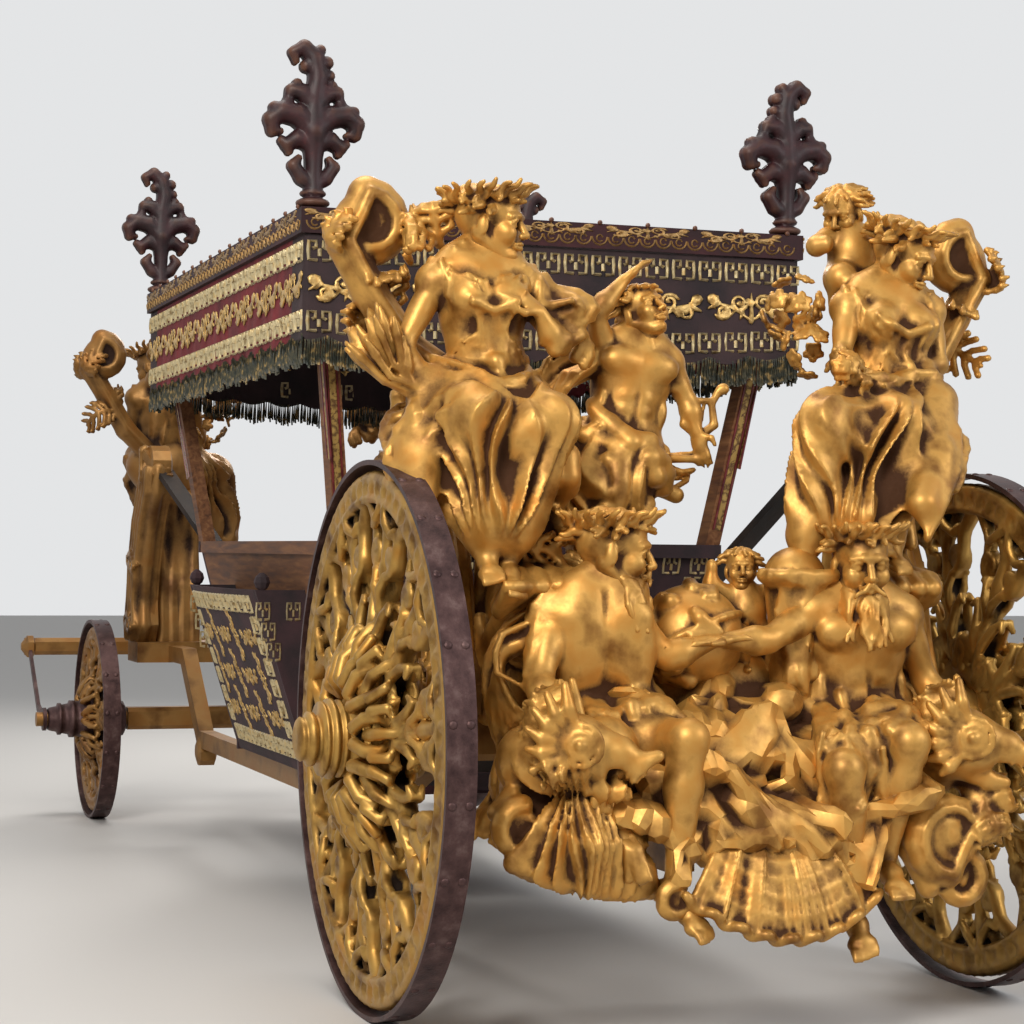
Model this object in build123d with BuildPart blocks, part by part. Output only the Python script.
"""A gilded baroque state coach, millimetres.

+X is forward, +Y is the coach's left, +Z is up. The origin is on the floor, at the middle of the
coach's length and width. The body is an open tub with four splayed posts and a canopy, slung on four
leather straps between two carved ends. The front axle turns on a kingpin under the front transom.
"""

import os
from math import cos, radians, sin

from build123d import *

os.makedirs("parts", exist_ok=True)

# Driving dimensions: running gear
WHEELBASE = 5600
REAR_REACH = 900  # from the rear axle to the shell's tip
FRONT_REACH = 800  # from the front axle to the brackets' tips
REAR_AXLE_X = -(WHEELBASE + FRONT_REACH - REAR_REACH) / 2
FRONT_AXLE_X = REAR_AXLE_X + WHEELBASE
WHEEL_Y = 1050  # from the middle of the coach to a wheel's middle plane
REAR_WHEEL_R = 875
FRONT_WHEEL_R = 535
TREAD_W = 90
TYRE_T = 16
RIM_DEPTH = 105
NAVE_R = 176
NAVE_RING = 40
AXLE_R = 38
AXLE_GAP = 0.4  # between an axle arm and its hub
HUB_INSET = 150  # inner end of a hub, from its wheel's middle plane
HUB_REACH = 266  # outer end of a hub, from its wheel's middle plane
HUB_END_WALL = 30
ARM_OUT = 60  # a front arm's end beyond its hub
BED_GAP = 12  # between an axle bed's end and its hub
AXLE_BED_W = 130
REAR_BED_H = 150
FRONT_BED_H = 120
KINGPIN_R = 30
PLATE_R = 340
PLATE_T = 20
PLATE_GAP = 1
TRANSOM_LIFT = 268  # lower plate's underside above the front axle
TRANSOM_H = 110
TRANSOM_W = 300
BOLSTER_W = 140
BOLSTER_END_H = 90
BOLSTER_H = 190
END_GAP = 42  # between the bolster's or transom's end and a hub
PERCH_W = 76
PERCH_H = 84
PERCH_GAP = 12  # between a perch and the tub
POLE_R = 46
POLE_DEPTH = 230
POLE_WALL = 34
FUTCHELL_Y = 190
FUTCHELL_T = 70
SPLINTER_AHEAD = 660
SPLINTER_OUT = 44  # beyond a front hub's end
SPLINTER_Z = 900
SPLINTER_W = 72
SPLINTER_H = 96
STAY_T = 18

# Driving dimensions: tub, boots and doors
TUB_BOTTOM_Z = 530
TUB_TOP_Z = 1500
TUB_HALF_L = 1016  # outer half length at the bottom
TUB_HALF_W = 600  # outer half width at the bottom
TUB_SPLAY_L = 280  # how much further out each end is at the top
TUB_SPLAY_W = 200
WALL_T = 36
FLOOR_T = 34
RAIL_H = 54
RAIL_OUT = 14
OPENING_HALF_L = 650  # half length of the boot and of the opening behind it
OPENING_Z = (580, 1270)
BOOT_T = 24
BOOT_Z = 545
DOOR_TOP_Z = 1300
DOOR_T = 26
DOOR_FOOT = 106  # inner face at the hinge, out from the tub's bottom
DOOR_LEAN = 234  # further out at the top
DOOR_BULGE = 55
DOOR_GAP = 6
HINGE_R = 14
HINGE_PIN_R = 7
HINGE_GAP = 0.4
BENCH_D = 430
BENCH_H = 330
CUSHION_T = 110

# Driving dimensions: posts and canopy
POST_L = 96
POST_T = 62
CORNICE_Z = 2628
CORNICE_H = 96
CORNICE_RISE = 50
CORNICE_W = 150
CANOPY_HALF_L = 1590
CANOPY_HALF_W = 1017
VALANCE_T = 22
VALANCE_H = 403
VALANCE_INSET = 12
ROOF_RISE = 215
ROOF_T = 30
FINIAL_INSET = 55
FINIAL_PLINTH = 104
FINIAL_PLINTH_H = 60
FINIAL_H = 632

# Driving dimensions: carved ends and straps
STANDARD_T = 110
HEAD_REACH = 450  # from an axle to its standards' heads, towards the tub
HEAD_Z = 1900
STRAP_W = 110
STRAP_T = 26
STRAP_FOOT_Y = 128
STRAP_FOOT_Z = 600
LUG_L = 110
SEAT_RISE = 65  # from the rear wheels' tops to the seats of the upper figures
BEARER_Y = 250
BEARER_W = 90
BEARER_H = 110
BEARER_Z = 500
CONSOLE_Y = 615
CONSOLE_W = 230
ROCK_BACK = 560  # from the rear axle to the rocks' and bearers' ends

MID = (Align.CENTER, Align.CENTER, Align.MIN)
BELOW = (Align.CENTER, Align.CENTER, Align.MAX)
ENDS = ((-1, "rear"), (1, "front"))
SIDES = ((1, "left"), (-1, "right"))

HUB_IN = WHEEL_Y - HUB_INSET
HUB_OUT = WHEEL_Y + HUB_REACH
TUB_MID_X = (REAR_AXLE_X + FRONT_AXLE_X) / 2
PERCH_Y = TUB_HALF_W + PERCH_GAP + PERCH_W / 2
CARVED_END_Y = HUB_IN - END_GAP
STANDARD_Y = CARVED_END_Y - STANDARD_T / 2 - 3
SEAT_Z = 2 * REAR_WHEEL_R + SEAT_RISE  # top of the carved consoles


def keep(builder, name):
    """Labels a finished piece and writes it as its own file."""
    builder.part.label = name
    export_step(builder.part, f"parts/{name}.step")


def faceted(rings):
    """A closed solid with flat sides through rings of points, each ring with the same count."""
    panels = [rings[0], rings[-1]]
    for low, high in zip(rings, rings[1:]):
        for k in range(len(low)):
            a, b, c, d = low[k - 1], low[k], high[k], high[k - 1]
            flat = abs((b - a).cross(c - a).normalized().dot(d - a)) < 0.001
            panels += [[a, b, c, d]] if flat else [[a, b, c], [a, c, d]]
    return Solid(Shell([Face(Wire.make_polygon(panel)) for panel in panels]))


def turned(plane, sections, sides=8, depth=1):
    """A faceted baluster along a plane's normal, through (distance, radius) sections."""
    rings = []
    for along, radius in sections:
        corners = [(radius * cos(k), depth * radius * sin(k), along) for k in around(sides)]
        rings.append([plane.from_local_coords(Vector(*corner)) for corner in corners])
    return faceted(rings)


def around(count):
    """Even angles round a circle, in radians."""
    return [radians(360 * (k + 0.5) / count) for k in range(count)]


def limb(start, end, start_r, end_r, sides=6):
    """A tapered round of few facets between two points."""
    way = Vector(*end) - Vector(*start)
    return turned(Plane(origin=start, z_dir=way), [(0, start_r), (way.length, end_r)], sides)


def tapered_box(low, low_z, high, high_z):
    """A solid between two level rectangles, each (x0, x1, y0, y1)."""
    rings = []
    for (x0, x1, y0, y1), z in ((low, low_z), (high, high_z)):
        rings.append([Vector(x0, y0, z), Vector(x1, y0, z), Vector(x1, y1, z), Vector(x0, y1, z)])
    return faceted(rings)


def side_plate(outline_points, y_mid, thickness):
    """An upright plate along X: (x, z) points, centred on y_mid."""
    with BuildPart() as plate:
        with BuildSketch(Plane.XZ.offset(-(y_mid + thickness / 2))):
            with BuildLine():
                Polyline(*outline_points, close=True)
            make_face()
        extrude(amount=thickness)
    return plate.part


# Wheels: iron tyre, carved rim with baluster spokes, turned hub with a blind or open bore

HUB_SECTIONS = [  # share of the length out from the inner end, radius
    (0, 118),
    (0.07, 132),
    (0.13, 118),
    (0.22, NAVE_R - 8),
    (0.36, NAVE_R),
    (0.5, NAVE_R - 8),
    (0.6, 124),
    (0.7, 130),
    (0.75, 96),
    (0.88, 88),
    (0.92, 58),
    (1, 52),
]
SPOKE_SECTIONS = [  # share of the length out from the nave ring, half width
    (0, 52),
    (0.14, 28),
    (0.38, 58),
    (0.64, 26),
    (0.82, 40),
    (1, 104),
]
SPOKE_DEPTH = 0.46  # thickness for each millimetre of width
RIM_INSET = 4
NAVE_RING_W = 116
NAVE_GAP = 0.3


def make_wheel(name, x, side, radius, scale, spokes, end_wall):
    """The tyre, rim and hub of one wheel. side is 1 on the left and -1 on the right."""
    rim_out = radius - TYRE_T
    rim_in = rim_out - RIM_DEPTH * scale
    nave_r = NAVE_R * scale
    ring_r = nave_r + NAVE_RING * scale
    centre = (x, side * WHEEL_Y, radius)
    middle = Plane(origin=centre, z_dir=(0, side, 0), x_dir=(1, 0, 0))
    with BuildPart() as tyre:
        with BuildSketch(middle.offset(-TREAD_W / 2)):
            Circle(radius)
            Circle(rim_out, mode=Mode.SUBTRACT)
        extrude(amount=TREAD_W)
    keep(tyre, f"{name}_tyre")

    # one spoke, which swells at its middle and spreads where it meets the rim
    start = ring_r - 10 * scale
    length = rim_in + RIM_INSET - start
    foot = middle.from_local_coords(Vector(start, 0, 0))
    out = Plane(origin=foot, x_dir=(0, 0, 1), z_dir=(1, 0, 0))
    sections = [(share * length, half * scale) for share, half in SPOKE_SECTIONS]
    spoke = turned(out, sections, 6, SPOKE_DEPTH)
    axis = Axis(centre, (0, 1, 0))
    with BuildPart() as rim:
        with BuildSketch(middle.offset(-TREAD_W / 2 + RIM_INSET)):
            Circle(rim_out)
            RegularPolygon(rim_in, 2 * spokes, mode=Mode.SUBTRACT)
        extrude(amount=TREAD_W - 2 * RIM_INSET)
        with BuildSketch(middle.offset(-NAVE_RING_W * scale / 2)):
            RegularPolygon(ring_r, 12)
            Circle(nave_r + NAVE_GAP, mode=Mode.SUBTRACT)
        extrude(amount=NAVE_RING_W * scale)
        add([spoke.rotate(axis, index * 360 / spokes) for index in range(spokes)])
    keep(rim, f"{name}_rim")

    hub_l = HUB_OUT - HUB_IN
    inner_end = Plane(origin=(x, side * HUB_IN, radius), z_dir=(0, side, 0), x_dir=(1, 0, 0))
    with BuildPart() as hub:
        add(turned(inner_end, [(share * hub_l, r * scale) for share, r in HUB_SECTIONS], 12))
        with BuildSketch(inner_end):
            Circle(AXLE_R + AXLE_GAP)
        extrude(amount=hub_l - end_wall, mode=Mode.SUBTRACT)
    keep(hub, f"{name}_hub")


WHEELS = [  # name, axle x, side, radius, carving scale, spokes, wall left at the hub's end
    ("rear_left", REAR_AXLE_X, 1, REAR_WHEEL_R, 1.0, 10, HUB_END_WALL),
    ("rear_right", REAR_AXLE_X, -1, REAR_WHEEL_R, 1.0, 10, HUB_END_WALL),
    ("front_left", FRONT_AXLE_X, 1, FRONT_WHEEL_R, 0.72, 8, 0),
    ("front_right", FRONT_AXLE_X, -1, FRONT_WHEEL_R, 0.72, 8, 0),
]
for wheel in WHEELS:
    make_wheel(*wheel)


# Axles: a carved bed between the hubs, with a round arm at each end


def axle(x, z, bed_h, arm_end):
    """An axle bed with its two arms."""
    bed_y = HUB_IN - BED_GAP
    with BuildPart() as beam:
        with BuildSketch(Plane.XZ.offset(-bed_y)):
            with Locations((x, z)):
                bed = Rectangle(AXLE_BED_W, bed_h)
            chamfer(bed.vertices(), 22)
        extrude(amount=2 * bed_y)
        with BuildSketch(Plane.XZ.offset(-arm_end)):
            with Locations((x, z)):
                Circle(AXLE_R)
        extrude(amount=2 * arm_end)
    return beam.part


ARM_CLEARANCE = 4
with BuildPart() as rear_axle:
    add(axle(REAR_AXLE_X, REAR_WHEEL_R, REAR_BED_H, HUB_OUT - HUB_END_WALL - ARM_CLEARANCE))
keep(rear_axle, "rear_axle")

# Rear bolster on the axle bed, with an arched upper edge
REAR_BED_TOP = REAR_WHEEL_R + REAR_BED_H / 2
BOLSTER_END_Z = REAR_BED_TOP + BOLSTER_END_H
BOLSTER_TOP_Z = REAR_BED_TOP + BOLSTER_H
with BuildPart() as rear_bolster:
    with BuildSketch(Plane.YZ.offset(REAR_AXLE_X - BOLSTER_W / 2)):
        with BuildLine():
            Polyline(
                (-CARVED_END_Y, BOLSTER_END_Z),
                (-CARVED_END_Y, REAR_BED_TOP),
                (CARVED_END_Y, REAR_BED_TOP),
                (CARVED_END_Y, BOLSTER_END_Z),
            )
            ThreePointArc(
                (CARVED_END_Y, BOLSTER_END_Z), (0, BOLSTER_TOP_Z), (-CARVED_END_Y, BOLSTER_END_Z)
            )
        make_face()
    extrude(amount=BOLSTER_W)
keep(rear_bolster, "rear_bolster")

# Perches: two cranked timbers under the tub, from the rear bed to the front transom
LOWER_PLATE_Z = FRONT_WHEEL_R + TRANSOM_LIFT
TRANSOM_Z = LOWER_PLATE_Z + 2 * PLATE_T + PLATE_GAP
TRANSOM_TOP = TRANSOM_Z + TRANSOM_H
PERCH_LOW_Z = TUB_BOTTOM_Z - PERCH_H + 9
bed_face = REAR_AXLE_X + AXLE_BED_W / 2
transom_face = FRONT_AXLE_X - TRANSOM_W / 2
crank_x = TUB_MID_X - TUB_HALF_L - 410
perch_outline = [
    (bed_face, REAR_WHEEL_R - 60),
    (bed_face, REAR_WHEEL_R + 50),
    (bed_face + 330, REAR_WHEEL_R + 34),
    (crank_x, PERCH_LOW_Z + PERCH_H),
    (transom_face - 850, PERCH_LOW_Z + PERCH_H),
    (transom_face - 380, TRANSOM_Z + PERCH_H + 8),
    (transom_face, TRANSOM_Z + PERCH_H + 8),
    (transom_face, TRANSOM_Z + 8),
    (transom_face - 340, TRANSOM_Z + 8),
    (transom_face - 815, PERCH_LOW_Z),
    (crank_x - 35, PERCH_LOW_Z),
    (bed_face + 300, REAR_WHEEL_R - 54),
]
with BuildPart() as perches:
    for side in (1, -1):
        add(side_plate(perch_outline, side * PERCH_Y, PERCH_W))
        # carved boss where the level stretch turns up to the fore-carriage
        boss = Plane((transom_face - 845, side * PERCH_Y, PERCH_LOW_Z - 20), z_dir=(0, side, 0))
        add(turned(boss.offset(-PERCH_W / 2 - 12), [(0, 40), (12, 74), (88, 74), (100, 40)], 10))
keep(perches, "perches")

# Front transom: upper turntable plate, cross timber and kingpin
with BuildPart() as front_transom:
    with Locations((FRONT_AXLE_X, 0, TRANSOM_Z)):
        Cylinder(PLATE_R, PLATE_T, align=BELOW)
        Box(TRANSOM_W, 2 * CARVED_END_Y, TRANSOM_H, align=MID)
    with Locations((FRONT_AXLE_X, 0, FRONT_WHEEL_R - FRONT_BED_H / 2)):
        Cylinder(KINGPIN_R, TRANSOM_Z - FRONT_WHEEL_R + FRONT_BED_H / 2, align=MID)
keep(front_transom, "front_transom")


# Standards: carved uprights that lean towards the tub, with a lug at the head for each strap


def axle_x(end):
    """The axle nearest an end of the coach."""
    return REAR_AXLE_X if end < 0 else FRONT_AXLE_X


def tub_share(z):
    """How far up the tub's side a height is."""
    return (z - TUB_BOTTOM_Z) / (TUB_TOP_Z - TUB_BOTTOM_Z)


def tub_x(end, z, inset=0):
    """Outer x of the tub's rear (-1) or front (1) wall at height z."""
    return TUB_MID_X + end * (TUB_HALF_L + tub_share(z) * TUB_SPLAY_L - inset)


def tub_y(z):
    """Outer half width of the tub at height z."""
    return TUB_HALF_W + tub_share(z) * TUB_SPLAY_W


STRAP_FOOT_OUT = 74  # a strap's lower end, out from the tub's wall


def strap_line(end, side):
    """A strap's upper and lower ends. end is -1 at the rear and 1 at the front."""
    head = Vector(axle_x(end) - end * HEAD_REACH, side * STANDARD_Y, HEAD_Z)
    foot_x = tub_x(end, STRAP_FOOT_Z) + end * STRAP_FOOT_OUT
    return head, Vector(foot_x, side * STRAP_FOOT_Y, STRAP_FOOT_Z)


def band(start, way, width, thick, length):
    """A flat band along a slanting line, its width level."""
    plane = Plane(origin=start, z_dir=way, x_dir=way.cross(Vector(0, 0, 1)))
    with BuildPart() as strip:
        with BuildSketch(plane):
            Rectangle(width, thick)
        extrude(amount=length)
    return strip.part


def lug(end, side, at_head):
    """The iron block that a strap's end meets, along the strap's own line."""
    head, foot = strap_line(end, side)
    way = (foot - head).normalized()
    start = head if at_head else foot
    return band(start, way, STRAP_W + 16, STRAP_T + 16, -LUG_L if at_head else LUG_L)


STANDARD_OUTLINE = [  # distance towards the tub from the axle, share of the height
    (-110, 0),
    (70, 0),
    (150, 0.1),
    (120, 0.24),
    (200, 0.46),
    (330, 0.7),
    (470, 0.84),
    (520, 0.95),
    (430, 1.0),
    (330, 1.02),
    (250, 0.9),
    (90, 0.7),
    (-20, 0.46),
    (-60, 0.24),
    (-130, 0.1),
]
SCROLL_R = 112
SCROLL_SPOT = (395, 1.0)


def standard(end, side, foot_z):
    """One upright with a rolled head and its strap lug."""
    rise = HEAD_Z - foot_z
    foot = axle_x(end)
    points = [(foot - end * along, foot_z + share * rise) for along, share in STANDARD_OUTLINE]
    roll_x = foot - end * SCROLL_SPOT[0]
    roll = Plane((roll_x, side * STANDARD_Y, foot_z + SCROLL_SPOT[1] * rise), z_dir=(0, side, 0))
    half = STANDARD_T / 2
    roll_sections = [(0, 70), (14, SCROLL_R), (2 * half, SCROLL_R), (2 * half + 14, 70)]
    with BuildPart() as upright:
        add(side_plate(points, side * STANDARD_Y, STANDARD_T))
        add(turned(roll.offset(-half - 7), roll_sections, 12))
        add(lug(end, side, at_head=True))
    return upright.part


with BuildPart() as rear_standards:
    for side in (1, -1):
        add(standard(-1, side, REAR_BED_TOP))
    add(rear_bolster.part, mode=Mode.SUBTRACT)
keep(rear_standards, "rear_standards")
with BuildPart() as front_standards:
    for side in (1, -1):
        add(standard(1, side, TRANSOM_TOP))
keep(front_standards, "front_standards")

for end, uprights in ((-1, rear_standards), (1, front_standards)):
    with BuildPart() as straps:
        for side in (1, -1):
            head, foot = strap_line(end, side)
            add(band(head, (foot - head).normalized(), STRAP_W, STRAP_T, (foot - head).length))
        add(uprights.part, mode=Mode.SUBTRACT)
    keep(straps, "rear_straps" if end < 0 else "front_straps")

# Fore-carriage: axle with its block, lower plate, futchells, splinter bar and stays
with BuildPart() as front_axle:
    add(axle(FRONT_AXLE_X, FRONT_WHEEL_R, FRONT_BED_H, HUB_OUT + ARM_OUT))
    with Locations((FRONT_AXLE_X, 0, FRONT_WHEEL_R)):
        Box(AXLE_BED_W - 20, 1.8 * PLATE_R, TRANSOM_LIFT, align=MID)
        Cylinder(KINGPIN_R + AXLE_GAP, 2 * TRANSOM_Z, mode=Mode.SUBTRACT)
keep(front_axle, "front_axle")
with BuildPart() as turntable_plate:
    with Locations((FRONT_AXLE_X, 0, LOWER_PLATE_Z)):
        Cylinder(PLATE_R, PLATE_T, align=MID)
        Cylinder(KINGPIN_R + AXLE_GAP, 4 * PLATE_T, mode=Mode.SUBTRACT)
keep(turntable_plate, "turntable_plate")

SPLINTER_X = FRONT_AXLE_X + SPLINTER_AHEAD
SPLINTER_HALF = HUB_OUT + SPLINTER_OUT
POLE_Z = SPLINTER_Z - 20
bar_face = SPLINTER_X - SPLINTER_W / 2
axle_face = FRONT_AXLE_X + AXLE_BED_W / 2
with BuildPart() as futchells:
    for side in (1, -1):
        outline = [
            (axle_face, FRONT_WHEEL_R - 36),
            (axle_face, FRONT_WHEEL_R + 36),
            (bar_face, SPLINTER_Z + 30),
            (bar_face, SPLINTER_Z - 70),
        ]
        add(side_plate(outline, side * FUTCHELL_Y, FUTCHELL_T))
    with Locations((bar_face, 0, POLE_Z)):
        Box(
            POLE_DEPTH + POLE_WALL,
            2 * FUTCHELL_Y,
            150,
            align=(Align.MAX, Align.CENTER, Align.CENTER),
        )
    with BuildSketch(Plane.YZ.offset(bar_face)):
        with Locations((0, POLE_Z)):
            Circle(POLE_R)
    extrude(amount=-POLE_DEPTH, mode=Mode.SUBTRACT)
keep(futchells, "futchells")
KNOB_SECTIONS = [  # distance out from a bar's neck, radius
    (0, 40),
    (14, 66),
    (44, 66),
    (60, 44),
    (78, 20),
]
with BuildPart() as splinter_bar:
    with BuildSketch(Plane.XZ.offset(-SPLINTER_HALF)):
        with Locations((SPLINTER_X, SPLINTER_Z)):
            bar = Rectangle(SPLINTER_W, SPLINTER_H)
        chamfer(bar.vertices(), 22)
    extrude(amount=2 * SPLINTER_HALF)
    for side in (1, -1):
        neck = Plane((SPLINTER_X, side * (SPLINTER_HALF - 60), SPLINTER_Z), z_dir=(0, side, 0))
        add(turned(neck, KNOB_SECTIONS))
    with BuildSketch(Plane.YZ.offset(SPLINTER_X - SPLINTER_W)):
        with Locations((0, POLE_Z)):
            Circle(POLE_R)
    extrude(amount=2 * SPLINTER_W, mode=Mode.SUBTRACT)
keep(splinter_bar, "splinter_bar")
# iron stays outside the wheels, from an eye on each arm's end to the splinter bar's back
STAY_Y = HUB_OUT + 8 + STAY_T / 2
STAY_EYE = 24
with BuildPart() as splinter_stays:
    for side in (1, -1):
        stay_outline = [
            (FRONT_AXLE_X, FRONT_WHEEL_R + 20),
            (FRONT_AXLE_X, FRONT_WHEEL_R - 20),
            (FRONT_AXLE_X + 240, FRONT_WHEEL_R + 30),
            (bar_face + 10, SPLINTER_Z - 26),
            (bar_face + 10, SPLINTER_Z + 8),
            (FRONT_AXLE_X + 220, FRONT_WHEEL_R + 66),
        ]
        add(side_plate(stay_outline, side * STAY_Y, STAY_T))
        with BuildSketch(Plane.XZ.offset(-(side * STAY_Y + STAY_T / 2))):
            with Locations((FRONT_AXLE_X, FRONT_WHEEL_R)):
                Circle(AXLE_R + STAY_EYE)
        extrude(amount=STAY_T)
    with BuildSketch(Plane.XZ.offset(-2 * HUB_OUT)):
        with Locations((FRONT_AXLE_X, FRONT_WHEEL_R)):
            Circle(AXLE_R)
    extrude(amount=4 * HUB_OUT, mode=Mode.SUBTRACT)
    add(splinter_bar.part, mode=Mode.SUBTRACT)
keep(splinter_stays, "splinter_stays")


# Tub: floor and four walls that splay outwards, open at the top, with an opening in each side


def tub_form(inset, low_z, high_z):
    """The tub's outer form, or its inside when inset, between two heights."""
    rects = []
    for z in (low_z, high_z):
        y = tub_y(z) - inset
        rects.append((tub_x(-1, z, inset), tub_x(1, z, inset), -y, y))
    return tapered_box(rects[0], low_z, rects[1], high_z)


tub_block = tub_form(0, TUB_BOTTOM_Z, TUB_TOP_Z)
with BuildPart() as tub_floor:
    with Locations((TUB_MID_X, 0, TUB_BOTTOM_Z)):
        Box(2 * TUB_HALF_L, 2 * TUB_HALF_W, FLOOR_T, align=BELOW)
keep(tub_floor, "tub_floor")

# each wall carries a moulded rail round the outside of the sill
RAIL_Z = TUB_TOP_Z - RAIL_H
for end, end_name in ENDS:
    corners = []
    for z in (TUB_BOTTOM_Z, TUB_TOP_Z):
        outer, inner = tub_x(end, z), tub_x(end, z, WALL_T)
        corners.append((min(outer, inner), max(outer, inner), -tub_y(z), tub_y(z)))
    with BuildPart() as wall:
        add(tapered_box(corners[0], TUB_BOTTOM_Z, corners[1], TUB_TOP_Z))
        lugs = [lug(end, side, at_head=False) for side in (1, -1)]
        add(lugs)
        with Locations((tub_x(end, TUB_TOP_Z), 0, RAIL_Z)):
            Box(2 * RAIL_OUT, 2 * tub_y(TUB_TOP_Z), RAIL_H, align=MID)
        # what the lugs and the rail leave inside the wall comes off
        inside_x = [TUB_MID_X, tub_x(end, TUB_BOTTOM_Z, WALL_T), tub_x(end, TUB_TOP_Z, WALL_T)]
        deep = 2 * TUB_HALF_W
        add(
            tapered_box(
                (min(inside_x[0], inside_x[1]), max(inside_x[0], inside_x[1]), -deep, deep),
                TUB_BOTTOM_Z,
                (min(inside_x[0], inside_x[2]), max(inside_x[0], inside_x[2]), -deep, deep),
                TUB_TOP_Z,
            ),
            mode=Mode.SUBTRACT,
        )
        add(tub_floor.part, mode=Mode.SUBTRACT)
    keep(wall, f"{end_name}_wall")

for side, side_name in SIDES:
    corners = []
    for z in (TUB_BOTTOM_Z, TUB_TOP_Z):
        outer, inner = side * tub_y(z), side * (tub_y(z) - WALL_T)
        corners.append(
            (tub_x(-1, z, WALL_T), tub_x(1, z, WALL_T), min(outer, inner), max(outer, inner))
        )
    with BuildPart() as wall:
        add(tapered_box(corners[0], TUB_BOTTOM_Z, corners[1], TUB_TOP_Z))
        rail_l = tub_x(1, RAIL_Z, WALL_T) - tub_x(-1, RAIL_Z, WALL_T)
        with Locations((TUB_MID_X, side * (tub_y(RAIL_Z) - WALL_T / 2 + RAIL_OUT), RAIL_Z)):
            Box(rail_l, WALL_T, RAIL_H, align=MID)
        with Locations((TUB_MID_X, side * TUB_HALF_W, OPENING_Z[0])):
            Box(
                2 * OPENING_HALF_L,
                2 * TUB_SPLAY_W + 4 * WALL_T,
                OPENING_Z[1] - OPENING_Z[0],
                align=MID,
                mode=Mode.SUBTRACT,
            )
    keep(wall, f"{side_name}_wall")

# Boots: a cheek at each end of the opening, a floor and a hinge pin. The door fills the outer side.
HINGE_Y = TUB_HALF_W + DOOR_FOOT + DOOR_T / 2
HINGE_Z = BOOT_Z + HINGE_R + 3
DOOR_IN_Y = (TUB_HALF_W + DOOR_FOOT, TUB_HALF_W + DOOR_FOOT + DOOR_LEAN)
DOOR_OUT_Y = DOOR_IN_Y[1] + DOOR_T
boot_root_y = TUB_HALF_W - 60
cheek_outline = [
    (boot_root_y, BOOT_Z),
    (HINGE_Y + 20, BOOT_Z),
    (HINGE_Y + 20, HINGE_Z + 20),
    (DOOR_OUT_Y, DOOR_TOP_Z),
    (boot_root_y, DOOR_TOP_Z),
]
CHEEK_KNOB = [  # height, radius
    (-2, 12),
    (10, 26),
    (30, 34),
    (52, 28),
    (70, 8),
]
for side, side_name in SIDES:
    with BuildPart() as boot:
        for end in (-1, 1):
            cheek_x = TUB_MID_X + end * (OPENING_HALF_L + BOOT_T / 2)
            with BuildSketch(Plane.YZ.offset(cheek_x - BOOT_T / 2)):
                with BuildLine():
                    Polyline(*[(side * y, z) for y, z in cheek_outline], close=True)
                make_face()
            extrude(amount=BOOT_T)
            knob = Plane((cheek_x, side * (DOOR_OUT_Y - 30), DOOR_TOP_Z))
            add(turned(knob, CHEEK_KNOB))
        floor_w = HINGE_Y - HINGE_R - DOOR_GAP - boot_root_y
        with Locations((TUB_MID_X, side * (boot_root_y + floor_w / 2), BOOT_Z)):
            Box(2 * OPENING_HALF_L, floor_w, BOOT_T, align=MID)
        with Locations((TUB_MID_X, side * HINGE_Y, HINGE_Z)):
            Cylinder(HINGE_PIN_R, 2 * OPENING_HALF_L, rotation=(0, 90, 0))
        add(tub_block, mode=Mode.SUBTRACT)
    keep(boot, f"{side_name}_boot")

    door_half = OPENING_HALF_L - DOOR_GAP
    low_x, high_x = TUB_MID_X - door_half, TUB_MID_X + door_half
    with BuildPart() as door:
        for inner_y, z, bulge in (
            (DOOR_IN_Y[0], HINGE_Z, 4),
            (DOOR_IN_Y[1], DOOR_TOP_Z, DOOR_BULGE),
        ):
            with BuildSketch(Plane.XY.offset(z)):
                with BuildLine():
                    inner, outer = side * inner_y, side * (inner_y + DOOR_T)
                    mid_in, mid_out = side * (inner_y + bulge), side * (inner_y + DOOR_T + bulge)
                    ThreePointArc((low_x, inner), (TUB_MID_X, mid_in), (high_x, inner))
                    Line((high_x, inner), (high_x, outer))
                    ThreePointArc((high_x, outer), (TUB_MID_X, mid_out), (low_x, outer))
                    Line((low_x, outer), (low_x, inner))
                make_face()
        loft(ruled=True)
        with Locations((TUB_MID_X, side * HINGE_Y, HINGE_Z)):
            Cylinder(HINGE_R, 2 * door_half, rotation=(0, 90, 0))
            Cylinder(
                HINGE_PIN_R + HINGE_GAP, 4 * door_half, rotation=(0, 90, 0), mode=Mode.SUBTRACT
            )
    keep(door, f"{side_name}_door")

# Posts: from the tub's corners up to the cornice, just inside the valances
POST_HEAD_GAP = 3
post_foot = (TUB_HALF_L + TUB_SPLAY_L - POST_L / 2, TUB_HALF_W + TUB_SPLAY_W - POST_T / 2)
valance_depth = VALANCE_INSET + VALANCE_T + POST_HEAD_GAP
post_head = (
    CANOPY_HALF_L - valance_depth - POST_L / 2,
    CANOPY_HALF_W - valance_depth - POST_T / 2 - 25,
)
with BuildPart() as corner_posts:
    for end in (-1, 1):
        for side in (1, -1):
            rects = []
            for px, py in (post_foot, post_head):
                x, y = TUB_MID_X + end * px, side * py
                rects.append((x - POST_L / 2, x + POST_L / 2, y - POST_T / 2, y + POST_T / 2))
            add(tapered_box(rects[0], TUB_TOP_Z, rects[1], CORNICE_Z))
keep(corner_posts, "corner_posts")


# Canopy: cornice ring with a bowed top, domed roof, four hanging valances and corner finials

CORNICE_TOP = CORNICE_Z + CORNICE_H


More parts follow.
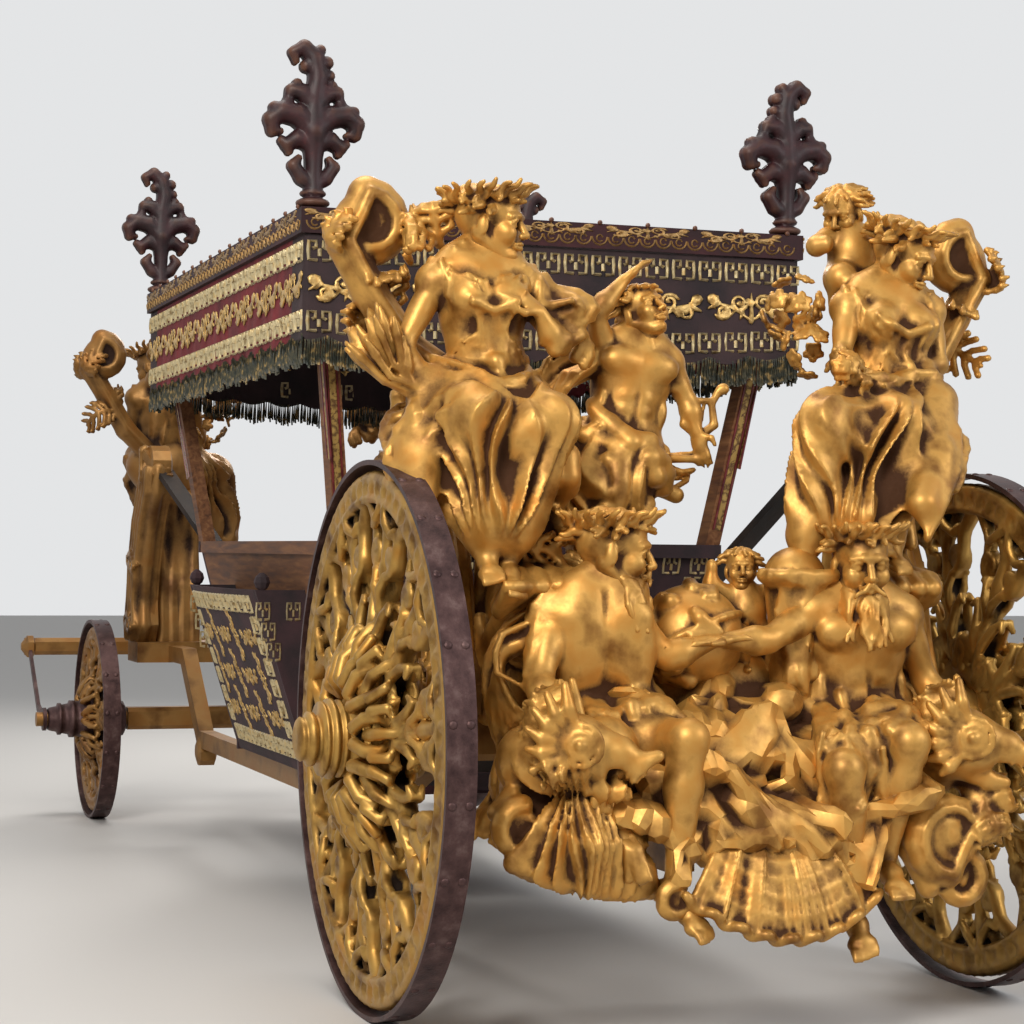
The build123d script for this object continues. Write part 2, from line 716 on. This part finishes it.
def bowed(plane, half_w, depth):
    """A slab with an arched top edge, centred on a plane's origin."""
    with BuildPart() as slab:
        with BuildSketch(plane.offset(-depth)):
            with BuildLine():
                Polyline(
                    (half_w, CORNICE_TOP),
                    (half_w, CORNICE_Z),
                    (-half_w, CORNICE_Z),
                    (-half_w, CORNICE_TOP),
                )
                ThreePointArc(
                    (-half_w, CORNICE_TOP), (0, CORNICE_TOP + CORNICE_RISE), (half_w, CORNICE_TOP)
                )
            make_face()
        extrude(amount=2 * depth)
    return slab.part


long_way = Plane((TUB_MID_X, 0, 0), x_dir=(1, 0, 0), z_dir=(0, -1, 0))
cross_way = Plane((TUB_MID_X, 0, 0), x_dir=(0, 1, 0), z_dir=(1, 0, 0))
finial_spots = [
    (TUB_MID_X + end * (CANOPY_HALF_L - FINIAL_INSET), side * (CANOPY_HALF_W - FINIAL_INSET))
    for end in (-1, 1)
    for side in (1, -1)
]
with BuildPart() as cornice:
    add(bowed(long_way, CANOPY_HALF_L, CANOPY_HALF_W))
    add(bowed(cross_way, CANOPY_HALF_W, CANOPY_HALF_L), mode=Mode.INTERSECT)
    with Locations((TUB_MID_X, 0, CORNICE_Z)):
        Box(
            2 * (CANOPY_HALF_L - CORNICE_W),
            2 * (CANOPY_HALF_W - CORNICE_W),
            4 * CORNICE_H,
            mode=Mode.SUBTRACT,
        )
    for x, y in finial_spots:
        with Locations((x, y, CORNICE_TOP)):
            Box(2 * FINIAL_PLINTH, 2 * FINIAL_PLINTH, CORNICE_H, align=MID, mode=Mode.SUBTRACT)
keep(cornice, "cornice")

FINIAL_SECTIONS = [  # share of the height above the plinth, radius
    (0, 40),
    (0.08, 24),
    (0.2, 56),
    (0.27, 34),
    (0.42, 50),
    (0.5, 28),
    (0.86, 26),
]
FINIAL_CURLS = [  # share of the height, reach out from the stem, radius, whether paired
    (0.36, 118, 40, True),
    (0.68, 88, 32, True),
    (0.94, 56, 34, False),
]
FINIAL_CURL_T = 44
stem_z = CORNICE_TOP + FINIAL_PLINTH_H
stem_h = FINIAL_H - FINIAL_PLINTH_H
with BuildPart() as finial:
    Box(FINIAL_PLINTH, FINIAL_PLINTH, FINIAL_PLINTH_H, align=BELOW)
    add(turned(Plane.XY, [(share * stem_h, r) for share, r in FINIAL_SECTIONS], 6))
    # flat curls on short arms, paired crosswise, with the topmost leaning one way
    for share, reach, curl_r, paired in FINIAL_CURLS:
        z = share * stem_h
        for way in ((1, -1) if paired else (1,)):
            tip = (0, way * (reach - curl_r), z)
            curl = Plane(tip, z_dir=(1, 0, 0)).offset(-FINIAL_CURL_T / 2)
            add(turned(curl, [(0, curl_r), (FINIAL_CURL_T, curl_r)], 6))
            add(limb((0, 0, z - 2.2 * curl_r), tip, 17, 17, 4))
with BuildPart() as finials:
    add([finial.part.moved(Location((x, y, stem_z))) for x, y in finial_spots])
keep(finials, "finials")

# the roof stands inside the cornice ring, on its inner faces
ROOF_Z = CORNICE_TOP - 60
ROOF_SECTIONS = [  # share of the rise, share of the half size
    (0, 1),
    (0.45, 0.82),
    (0.85, 0.5),
    (1, 0.22),
]


def roof_form(inset):
    """The roof's outer form, or its inside when inset by the thickness."""
    rings = []
    for rise, size in ROOF_SECTIONS:
        half_l = (CANOPY_HALF_L - CORNICE_W) * size - inset
        half_w = (CANOPY_HALF_W - CORNICE_W) * size - inset
        z = ROOF_Z - inset + rise * ROOF_RISE
        corners = ((-1, -1), (1, -1), (1, 1), (-1, 1))
        rings.append([Vector(TUB_MID_X + a * half_l, b * half_w, z) for a, b in corners])
    return faceted(rings)


with BuildPart() as roof:
    add(roof_form(0))
    add(roof_form(ROOF_T), mode=Mode.SUBTRACT)
keep(roof, "roof")

end_x = CANOPY_HALF_L - VALANCE_INSET - VALANCE_T / 2
side_y = CANOPY_HALF_W - VALANCE_INSET - VALANCE_T / 2
end_len = 2 * (CANOPY_HALF_W - VALANCE_INSET)
side_len = 2 * (CANOPY_HALF_L - VALANCE_INSET - VALANCE_T)
VALANCES = [  # name, middle x, middle y, size along x, size along y
    ("rear_valance", TUB_MID_X - end_x, 0, VALANCE_T, end_len),
    ("front_valance", TUB_MID_X + end_x, 0, VALANCE_T, end_len),
    ("left_valance", TUB_MID_X, side_y, side_len, VALANCE_T),
    ("right_valance", TUB_MID_X, -side_y, side_len, VALANCE_T),
]
for name, x, y, size_x, size_y in VALANCES:
    with BuildPart() as valance:
        with Locations((x, y, CORNICE_Z)):
            Box(size_x, size_y, VALANCE_H, align=BELOW)
    keep(valance, name)

# Seats: a bench across each end of the tub, with a cushion on it
inside_form = tub_form(WALL_T + 1, TUB_BOTTOM_Z, TUB_TOP_Z)
bench_z = TUB_BOTTOM_Z + BENCH_H
for end, end_name in ENDS:
    with BuildPart() as bench:
        deep_x = TUB_MID_X + end * (TUB_HALF_L + TUB_SPLAY_L)
        near_x = TUB_MID_X + end * (TUB_HALF_L - BENCH_D)
        with Locations(((deep_x + near_x) / 2, 0, TUB_BOTTOM_Z)):
            Box(abs(deep_x - near_x), 2 * (TUB_HALF_W - WALL_T - 2), BENCH_H, align=MID)
        add(inside_form, mode=Mode.INTERSECT)
    keep(bench, f"{end_name}_bench")
    with BuildPart() as cushion:
        back_x = tub_x(end, bench_z, WALL_T + 14)
        front_x = near_x - end * 20
        with Locations(((back_x + front_x) / 2, 0, bench_z + 0.3)):
            Box(abs(back_x - front_x), 2 * (tub_y(bench_z) - WALL_T - 14), CUSHION_T, align=MID)
        chamfer(cushion.edges(), 26)
    keep(cushion, f"{end_name}_cushion")


# Rear carved end: two bearers behind the axle, rocks on them and a shell footboard

rear_face = REAR_AXLE_X - AXLE_BED_W / 2
ROCK_Z = BEARER_Z + BEARER_H
with BuildPart() as rear_bearers:
    for side in (1, -1):
        outline = [
            (rear_face, REAR_WHEEL_R - 52),
            (rear_face, REAR_WHEEL_R + 52),
            (rear_face - 200, ROCK_Z),
            (REAR_AXLE_X - ROCK_BACK, ROCK_Z),
            (REAR_AXLE_X - ROCK_BACK, BEARER_Z),
            (rear_face - 170, BEARER_Z),
        ]
        add(side_plate(outline, side * BEARER_Y, BEARER_W))
keep(rear_bearers, "rear_bearers")

ROCK_SECTIONS = [  # height above the bearers, rear edge, front edge, half width
    (0, 540, 150, 470),
    (60, 640, 80, 560),
    (170, 600, 80, 540),
    (190, 500, 80, 300),
    (450, 400, 80, 250),
    (540, 300, 80, 180),
]
with BuildPart() as rocks:
    rings = []
    for rise, back, front, half_w in ROCK_SECTIONS:
        x0, x1, z = REAR_AXLE_X - back, REAR_AXLE_X - front, ROCK_Z + rise
        cut = 0.35 * half_w
        corners = [(x0, cut - half_w), (x0 + cut, -half_w), (x1, -half_w)]
        corners += [(x1, half_w), (x0 + cut, half_w), (x0, half_w - cut)]
        rings.append([Vector(x, y, z) for x, y in corners])
    add(faceted(rings))
    add(rear_bearers.part, mode=Mode.SUBTRACT)
    add(rear_bolster.part, mode=Mode.SUBTRACT)
keep(rocks, "rocks")

# the shell fans down and back from its root on the rocks, in tapered flutes
SHELL_FLUTES = 9
SHELL_SPREAD = 64
SHELL_FLUTE_R = 34
SHELL_DROP = 1.22  # how far it falls for each millimetre that it reaches back
shell_root = Vector(REAR_AXLE_X - ROCK_BACK - 20, 0, ROCK_Z + 50)
with BuildPart() as shell_footboard:
    lean = Plane(origin=shell_root, x_dir=(0, 1, 0), z_dir=(SHELL_DROP, 0, -1))
    reach = (REAR_REACH - ROCK_BACK - 46) * (1 + SHELL_DROP**2) ** 0.5
    for index in range(SHELL_FLUTES):
        turn = radians((index / (SHELL_FLUTES - 1) - 0.5) * SHELL_SPREAD)
        tip = Vector(reach * sin(turn), -reach * cos(turn), 0)
        ends = [tuple(lean.from_local_coords(tip * share)) for share in (0.1, 1)]
        add(limb(*ends, SHELL_FLUTE_R * 0.5, SHELL_FLUTE_R))
    with Locations((REAR_AXLE_X - ROCK_BACK, 0, BEARER_Z)):
        Box(70, 2 * BEARER_Y + BEARER_W, BEARER_H, align=(Align.MAX, Align.CENTER, Align.MIN))
    add(rear_bearers.part, mode=Mode.SUBTRACT)
    add(rocks.part, mode=Mode.SUBTRACT)
keep(shell_footboard, "shell_footboard")


# Carved figures. A place is (distance out from the nearest axle, y, z). The front end is the rear
# end turned half round, so its y changes sign with its x.


def place(end, spot, lift=0):
    """A point of a carved end in the coach's frame, raised by a lift."""
    out, y, z = spot
    return Vector(axle_x(end) + end * out, -end * y, z + lift)


def chain(end, stops, lift=0, sides=5):
    """A bent taper through (place, radius) stops, each ring square to the way on both its sides."""
    spots = [place(end, spot, lift) for spot, radius in stops]
    ways = [(b - a).normalized() for a, b in zip(spots, spots[1:])]
    across = ways[0].cross(Vector(0.3, 0.2, 1) if abs(ways[0].Z) < 0.9 else Vector(1, 0.3, 0))
    rings = []
    for index, (spot, (start, radius)) in enumerate(zip(spots, stops)):
        way = (ways[max(index - 1, 0)] + ways[min(index, len(ways) - 1)]).normalized()
        across = (across - way * across.dot(way)).normalized()
        upright = way.cross(across)
        turns = [(radius * cos(k), radius * sin(k)) for k in around(sides)]
        rings.append([spot + across * a + upright * b for a, b in turns])
    return faceted(rings)


def draped(end, rings, lift=0):
    """A hanging cloth through level ovals, each (out, y, z, half depth, half width)."""
    sections = []
    for out, y, z, depth, width in rings:
        corners = [(out + depth * cos(k), y + width * sin(k), z) for k in around(8)]
        sections.append([place(end, corner, lift) for corner in corners])
    return faceted(sections)


TRUNK_SECTIONS = [  # share of the way from the hips to the neck, radius
    (-0.2, 90),
    (0, 126),
    (0.3, 100),
    (0.74, 142),
    (0.94, 110),
    (1.1, 46),
]
HEAD_SECTIONS = [  # distance from the head's middle, radius
    (-120, 52),
    (-40, 92),
    (50, 98),
    (112, 44),
]
ARM_RADII = (50, 42, 26)
LEG_RADII = (90, 66, 42, 34)


def figure(end, pose, lift=0):
    """A carved figure: trunk, head, arms, legs and what hangs on it."""
    hips, neck, head = (place(end, spot, lift) for spot in pose["trunk"])
    across = place(end, pose["arms"][0][0]) - place(end, pose["arms"][1][0])
    way = neck - hips
    trunk = Plane(origin=hips, x_dir=across - way * (across.dot(way) / way.dot(way)), z_dir=way)
    sections = [(share * way.length, radius) for share, radius in TRUNK_SECTIONS]
    with BuildPart() as body:
        add(turned(trunk, sections, 6, 0.72))
        add(turned(Plane(origin=head, z_dir=head - neck), HEAD_SECTIONS, 5))
        for arm in pose["arms"]:
            add(chain(end, list(zip(arm, ARM_RADII)), lift))
        for leg in pose["legs"]:
            add(chain(end, list(zip(leg, LEG_RADII)), lift))
        if pose["cloth"]:
            add(draped(end, pose["cloth"], lift))
        for extra in pose["extras"]:
            add(chain(end, extra, lift))
    return body.part


POSED_SEAT_Z = 1815  # the seat's height in the table of poses below
UPPER_POSES = {  # places as (distance out from the axle, y, z)
    "left": {
        "trunk": [(110, 740, 1900), (100, 755, 2370), (105, 735, 2500)],
        "arms": [
            [(100, 880, 2280), (125, 1010, 2090), (160, 965, 1950)],
            [(100, 625, 2275), (190, 530, 2120), (240, 600, 2210)],
        ],
        "legs": [
            [(110, 830, 1905), (340, 855, 1885), (340, 850, 1500), (430, 840, 1430)],
            [(110, 660, 1905), (350, 610, 1875), (335, 700, 1480), (430, 720, 1410)],
        ],
        "cloth": [
            (350, 790, 1450, 70, 120),
            (345, 750, 1700, 90, 180),
            (300, 735, 1880, 160, 210),
            (180, 740, 1990, 190, 190),
            (110, 750, 2090, 100, 120),
        ],
        "extras": [
            [
                ((60, 800, 1960), 50),
                ((-40, 1000, 2150), 60),
                ((-50, 1150, 2390), 76),
                ((-80, 1085, 2540), 92),
            ],
            [((160, 965, 1950), 40), ((170, 990, 2150), 90)],
        ],
    },
    "right": {
        "trunk": [(110, -680, 1900), (100, -685, 2350), (105, -735, 2475)],
        "arms": [
            [(100, -560, 2280), (160, -470, 2120), (245, -440, 2020)],
            [(100, -820, 2275), (125, -830, 2110), (250, -560, 2020)],
        ],
        "legs": [
            [(110, -600, 1905), (350, -350, 1885), (360, -290, 1570), (440, -245, 1480)],
            [(110, -760, 1905), (310, -570, 1905), (350, -570, 1530), (440, -570, 1450)],
        ],
        "cloth": [
            (325, -480, 1540, 60, 150),
            (325, -460, 1750, 80, 200),
            (300, -490, 1880, 150, 240),
            (170, -630, 1990, 170, 200),
            (110, -680, 2090, 100, 120),
        ],
        "extras": [
            [
                ((60, -760, 1960), 50),
                ((-40, -960, 2150), 60),
                ((-70, -1110, 2390), 76),
                ((-100, -1060, 2550), 92),
            ],
            [((60, -640, 2240), 60), ((-90, -650, 2430), 60), ((-100, -620, 2680), 56)],
        ],
    },
}

# consoles under the upper figures: an upright scroll with a ledge for the feet
CONSOLE_OUTLINE = [  # distance out from the axle, drop below the seat
    (-60, 0),
    (300, 0),
    (320, 70),
    (230, 150),
    (170, 330),
    (190, 420),
    (410, 430),
    (430, 480),
    (300, 530),
    (150, 590),
    (75, 700),
]
CONSOLE_BACK = [  # the same, up the side towards the tub
    (-45, 600),
    (-10, 380),
    (-25, 180),
]
CONSOLE_FOOT = 65  # half length where it stands


def consoles(end, foot_z):
    """The two consoles of one end, standing at foot_z."""
    drops = CONSOLE_OUTLINE + [(CONSOLE_FOOT, SEAT_Z - foot_z), (-CONSOLE_FOOT, SEAT_Z - foot_z)]
    points = [(axle_x(end) + end * out, SEAT_Z - drop) for out, drop in drops + CONSOLE_BACK]
    with BuildPart() as pair:
        for side in (1, -1):
            add(side_plate(points, side * CONSOLE_Y, CONSOLE_W))
    return pair.part


PIER_TOP = 1500
PIER_SPOT = (-10, 320)
with BuildPart() as rear_consoles:
    add(consoles(-1, REAR_BED_TOP))
    add(chain(-1, [((*PIER_SPOT, REAR_BED_TOP), 74), ((*PIER_SPOT, PIER_TOP), 84)]))
    add(chain(-1, [((345, -225, ROCK_Z + 200), 70), ((345, -225, SEAT_Z - 430), 105)]))
    add(rear_bolster.part, mode=Mode.SUBTRACT)
    add(rocks.part, mode=Mode.SUBTRACT)
keep(rear_consoles, "rear_consoles")
with BuildPart() as front_consoles:
    add(consoles(1, TRANSOM_TOP))
keep(front_consoles, "front_consoles")

for side, side_name in SIDES:
    with BuildPart() as upper_figure:
        add(figure(-1, UPPER_POSES[side_name], SEAT_Z - POSED_SEAT_Z))
        add(rear_consoles.part, mode=Mode.SUBTRACT)
    keep(upper_figure, f"upper_figure_{side_name}")
with BuildPart() as front_figures:
    for side, side_name in SIDES:
        add(figure(1, UPPER_POSES[side_name], SEAT_Z - POSED_SEAT_Z))
    add(front_consoles.part, mode=Mode.SUBTRACT)
keep(front_figures, "front_figures")

with BuildPart() as standing_figure:
    add(
        figure(
            -1,
            {
                "trunk": [(0, 240, 1790), (0, 185, 2130), (0, 175, 2255)],
                "arms": [
                    [(0, 300, 2080), (40, 350, 2240), (30, 240, 2340)],
                    [(0, 75, 2070), (10, 10, 1950), (20, -10, 1860)],
                ],
                "legs": [
                    [(0, 290, 1790), (50, 360, 1640), (10, 330, 1530), (60, 330, 1515)],
                    [(0, 200, 1790), (60, 240, 1640), (20, 290, 1530), (60, 290, 1515)],
                ],
                "cloth": [
                    (-10, 330, PIER_TOP - 2, 76, 90),
                    (0, 300, 1640, 100, 150),
                    (0, 240, 1800, 110, 160),
                    (0, 230, 1880, 90, 120),
                ],
                "extras": [
                    [((20, -10, 1850), 24), ((10, -60, 1900), 20), ((0, -75, 1990), 16)],
                    [((20, -10, 1850), 24), ((10, 40, 1920), 20), ((0, 60, 2010), 16)],
                ],
            },
        )
    )
    add(rear_consoles.part, mode=Mode.SUBTRACT)
keep(standing_figure, "standing_figure")

# Dolphins on ribbed scrolls, one at each side of the rocks
DOLPHINS = [  # stops of a body from snout to tail, then of the scroll under it
    (
        [
            ((780, 500, 815), 26),
            ((690, 640, 880), 108),
            ((560, 735, 850), 92),
            ((420, 690, 745), 72),
            ((330, 500, 690), 44),
        ],
        [((620, 790, 655), 96), ((632, 650, 640), 126), ((645, 400, 540), 100)],
    ),
    (
        [
            ((750, -800, 805), 26),
            ((690, -650, 880), 108),
            ((560, -620, 820), 92),
            ((430, -600, 730), 72),
            ((330, -500, 690), 44),
        ],
        [((730, -573, 610), 104), ((640, -560, 610), 128), ((540, -470, 650), 84)],
    ),
]
THROAT_R = 72
with BuildPart() as dolphins:
    for body, scroll in DOLPHINS:
        add(chain(-1, body))
        add(chain(-1, scroll))
        # the throat comes down into the scroll
        add(chain(-1, [(body[1][0], THROAT_R), (scroll[1][0], THROAT_R)]))
    add(rocks.part, mode=Mode.SUBTRACT)
    add(rear_bearers.part, mode=Mode.SUBTRACT)
keep(dolphins, "dolphins")

GLOBE_R = 172
GLOBE_SPOT = (240, 115, 1185)
with BuildPart() as globe:
    with Locations(place(-1, GLOBE_SPOT)):
        Sphere(GLOBE_R)
    # a child leaning on the globe, its feet on the rocks
    child = [((250, -105, 1090), 50), ((225, -92, 1290), 66), ((215, -80, 1370), 40)]
    add(chain(-1, child))
    add(chain(-1, [((215, -80, 1385), 40), ((210, -60, 1440), 60), ((210, -50, 1500), 34)]))
    add(chain(-1, [((215, -60, 1350), 26), ((215, 30, 1380), 22), ((210, 72, 1445), 16)]))
    add(rocks.part, mode=Mode.SUBTRACT)
    add(rear_bolster.part, mode=Mode.SUBTRACT)
keep(globe, "globe")

SEA_POSES = {
    "left": {
        "trunk": [(350, 430, 860), (405, 470, 1340), (405, 425, 1460)],
        "arms": [
            [(408, 415, 1262), (455, 261, 1150), (458, 106, 1197)],
            [(385, 600, 1280), (470, 660, 1110), (590, 690, 1010)],
        ],
        "legs": [
            [(350, 350, 870), (720, 300, 915), (690, 345, 480), (790, 340, 430)],
            [(350, 510, 870), (600, 430, 870), (640, 440, 700), (690, 420, 680)],
        ],
        "cloth": [
            (600, 440, 700, 50, 60),
            (560, 440, 850, 90, 100),
            (400, 430, 930, 130, 150),
            (360, 440, 990, 80, 110),
        ],
        "extras": [],
    },
    "right": {
        "trunk": [(350, -420, 860), (430, -415, 1330), (500, -405, 1440)],
        "arms": [
            [(415, -300, 1262), (455, -76, 1215), (458, 86, 1197)],
            [(415, -570, 1260), (425, -660, 1080), (450, -735, 1000)],
        ],
        "legs": [
            [(350, -340, 870), (735, -230, 850), (690, -330, 420), (800, -340, 350)],
            [(350, -500, 870), (740, -412, 900), (650, -400, 530), (740, -410, 470)],
        ],
        "cloth": [
            (600, -330, 760, 60, 150),
            (560, -350, 850, 90, 170),
            (400, -400, 930, 130, 150),
            (360, -420, 990, 80, 110),
        ],
        "extras": [],
    },
}
for side, side_name in SIDES:
    with BuildPart() as sea_figure:
        add(figure(-1, SEA_POSES[side_name]))
        for support in (rocks, dolphins, globe, shell_footboard, rear_consoles):
            add(support.part, mode=Mode.SUBTRACT)
    keep(sea_figure, f"sea_figure_{side_name}")

# Front carved end: two scroll brackets that sweep up ahead of the transom
BRACKET_Y = 600
BRACKET_W = 110
BRACKET_OUTLINE = [  # distance back from the tip, height above the transom's top
    (650, 0),
    (470, 150),
    (200, 560),
    (160, 700),
    (180, 850),
    (60, 880),
    (0, 720),
    (20, 520),
    (90, 380),
    (340, 90),
    (480, -80),
    (650, -80),
]
with BuildPart() as front_brackets:
    for side in (1, -1):
        tip_x = FRONT_AXLE_X + FRONT_REACH
        outline = [(tip_x - back, TRANSOM_TOP + rise) for back, rise in BRACKET_OUTLINE]
        add(side_plate(outline, side * BRACKET_Y, BRACKET_W))
    add(front_consoles.part, mode=Mode.SUBTRACT)
    add(front_transom.part, mode=Mode.SUBTRACT)
    add(front_figures.part, mode=Mode.SUBTRACT)
keep(front_brackets, "front_brackets")
